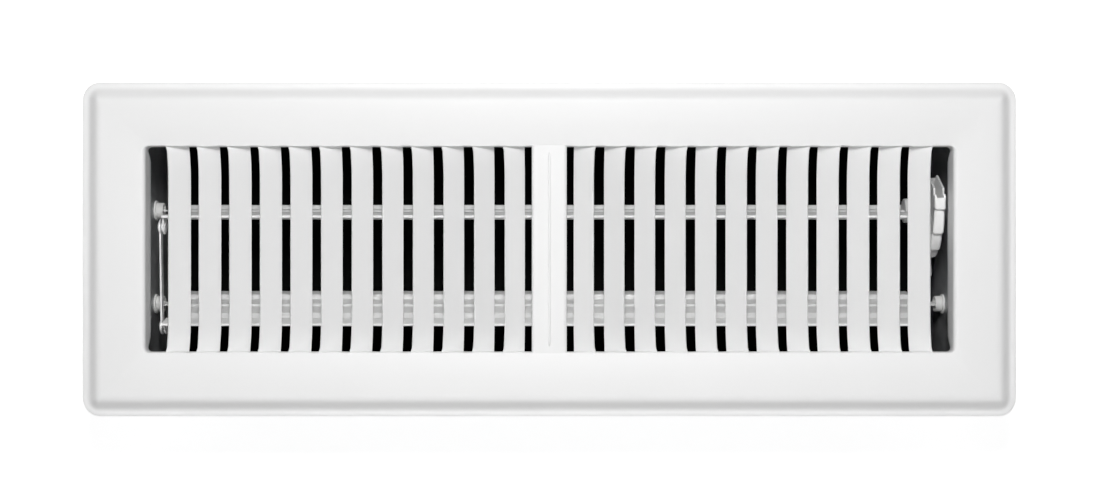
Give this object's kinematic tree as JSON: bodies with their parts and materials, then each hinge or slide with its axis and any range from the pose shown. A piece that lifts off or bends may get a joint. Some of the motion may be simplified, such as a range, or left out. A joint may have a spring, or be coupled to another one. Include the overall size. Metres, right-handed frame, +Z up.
{
  "type": "floor register",
  "caption": "Louvred steel floor register: stamped face with angled fins over a damper box, with linked damper blades turned by a thumb lever in the end slot.",
  "frame": {"origin": "centre of the damper box's bottom rim, on which the register stands when it isn't in a floor", "axes": "+X along the register's length towards the thumb lever, +Y towards the rear blade, +Z up through the face"},
  "size_m": [0.3958, 0.1416, 0.0626],
  "materials": {
    "face_paint": "semi-gloss white powder coat on sheet steel",
    "galvanised_sheet": "bare galvanised sheet",
    "blade_sheet": "thin satin white paint on sheet steel",
    "link_steel": "zinc-plated steel",
    "lever_plastic": "moulded white plastic",
    "bush_plastic": "moulded natural plastic"
  },
  "bodies": {
    "frame": {"face_plate": "face_paint", "side_panel_front": "galvanised_sheet", "side_panel_rear": "galvanised_sheet", "end_panel_left": "galvanised_sheet", "end_panel_right": "galvanised_sheet", "pivot_bush_front_left": "bush_plastic", "pivot_bush_front_right": "bush_plastic", "pivot_bush_rear_left": "bush_plastic", "pivot_bush_rear_right": "bush_plastic"},
    "rear_damper": {"damper_blade_rear": "blade_sheet", "thumb_lever": "lever_plastic", "link_rivet_rear": "link_steel"},
    "front_damper": {"damper_blade_front": "blade_sheet", "link_rivet_front": "link_steel"},
    "link": {"link_strip": "link_steel"}
  },
  "joints": [
    {"name": "damper_lever", "type": "hinge", "parent": "frame", "child": "rear_damper", "pos_m": [0, 0.0172, 0.0235], "axis": [-1, 0, 0], "range_deg": [0, 92]},
    {"name": "front_blade_pivot", "type": "hinge", "parent": "frame", "child": "front_damper", "pos_m": [0, -0.0242, 0.0235], "axis": [-1, 0, 0], "range_deg": [0, 99.5]},
    {"name": "link_pivot", "type": "hinge", "parent": "rear_damper", "child": "link", "pos_m": [-0.1673, 0.00963, 0.0468], "axis": [-1, 0, 0], "range_deg": [-89.5, 0]}
  ],
  "couplings": [
    {"joint": "front_blade_pivot", "follows": "damper_lever", "ratio": 1.08},
    {"joint": "link_pivot", "follows": "damper_lever", "ratio": -0.97}
  ]
}
